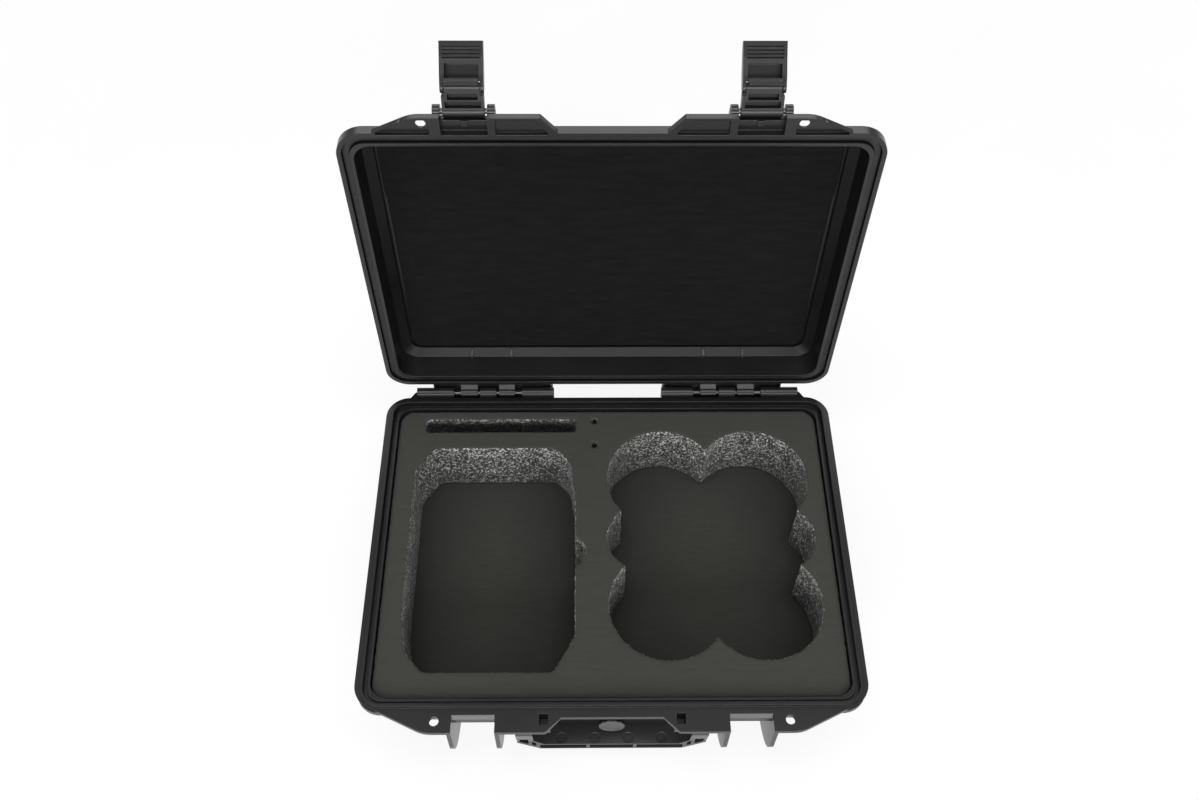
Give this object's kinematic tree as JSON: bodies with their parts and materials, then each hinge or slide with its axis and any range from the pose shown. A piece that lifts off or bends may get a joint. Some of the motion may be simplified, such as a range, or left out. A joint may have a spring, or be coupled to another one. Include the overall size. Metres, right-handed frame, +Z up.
{
  "type": "drone carrying case",
  "caption": "Hard plastic carrying case with a foam insert for a small ring-guarded drone and its controller, drawn with the lid open.",
  "frame": {"origin": "centre of the base's flat underside", "axes": "+X to the right seen from the front, +Y to the back where the hinges are, +Z up; the front with the latches and handle faces -Y"},
  "size_m": [0.3, 0.2739, 0.3262],
  "materials": {
    "shell_plastic": "fine grain",
    "handle_plastic": "satin",
    "foam_charcoal": "open-cell foam, cut walls speckled",
    "pad_black": "fine laid weave",
    "seal_rubber": "matte",
    "pin_steel": "drawn wire",
    "valve_grey": "satin"
  },
  "bodies": {
    "base": {"base_shell": "shell_plastic", "foam_insert": "foam_charcoal", "foam_floor": "foam_charcoal", "pressure_valve": "valve_grey", "valve_seal": "seal_rubber", "hinge_pin_left": "pin_steel", "hinge_pin_right": "pin_steel", "handle_pin_left": "pin_steel", "handle_pin_right": "pin_steel"},
    "lid": {"lid_shell": "shell_plastic", "lid_seal": "seal_rubber", "lid_pad": "pad_black", "latch_pin_left": "pin_steel", "latch_pin_right": "pin_steel"},
    "handle": {"carry_handle": "handle_plastic"},
    "link_left": {"latch_link_left": "handle_plastic", "lever_pin_left": "pin_steel"},
    "lever_left": {"latch_lever_left": "handle_plastic"},
    "link_right": {"latch_link_right": "handle_plastic", "lever_pin_right": "pin_steel"},
    "lever_right": {"latch_lever_right": "handle_plastic"}
  },
  "joints": [
    {"name": "lid_hinge", "type": "hinge", "parent": "base", "child": "lid", "pos_m": [0, 0.1175, 0.0573], "axis": [-1, 0, 0], "range_deg": [-90.5, 4]},
    {"name": "handle_hinge", "type": "hinge", "parent": "base", "child": "handle", "pos_m": [0, -0.115, 0.047], "axis": [-1, 0, 0], "range_deg": [0, 95]},
    {"name": "link_hinge_left", "type": "hinge", "parent": "lid", "child": "link_left", "pos_m": [-0.0792, 0.13027, 0.2949], "axis": [-1, 0, 0], "range_deg": [-104.5, 20]},
    {"name": "lever_hinge_left", "type": "hinge", "parent": "link_left", "child": "lever_left", "pos_m": [-0.0792, 0.13379, 0.30803], "axis": [-1, 0, 0], "range_deg": [-25, 60]},
    {"name": "link_hinge_right", "type": "hinge", "parent": "lid", "child": "link_right", "pos_m": [0.0792, 0.13027, 0.2949], "axis": [-1, 0, 0], "range_deg": [-104.5, 20]},
    {"name": "lever_hinge_right", "type": "hinge", "parent": "link_right", "child": "lever_right", "pos_m": [0.0792, 0.13379, 0.30803], "axis": [-1, 0, 0], "range_deg": [-25, 60]}
  ]
}
